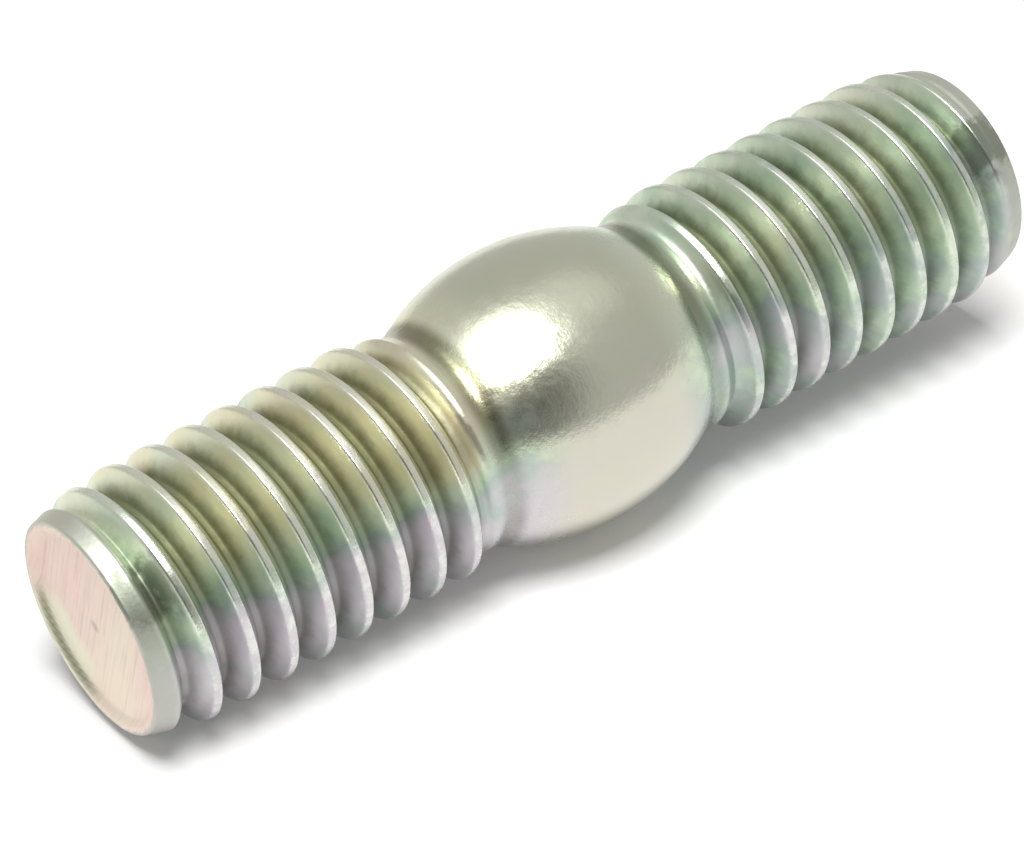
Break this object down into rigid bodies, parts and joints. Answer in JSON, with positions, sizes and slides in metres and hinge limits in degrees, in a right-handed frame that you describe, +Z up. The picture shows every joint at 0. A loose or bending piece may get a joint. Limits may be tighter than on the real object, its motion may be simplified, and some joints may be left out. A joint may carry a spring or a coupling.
{
  "type": "double ended stud",
  "caption": "Straight steel stud with a coarse right-hand thread at each end and a rounded upset barrel in the middle, between short plain necks.",
  "frame": {"origin": "centre of the lower end face, on which the stud stands", "axes": "+Z up along the stud's axis, from the lower end face to the upper one; X and Y across it"},
  "size_m": [0.007, 0.007, 0.025],
  "materials": {
    "plated_steel": "rolled steel, bright zinc plate with an iridescent yellow-green passivation"
  },
  "bodies": {
    "root": {"stud": "plated_steel"}
  },
  "joints": []
}
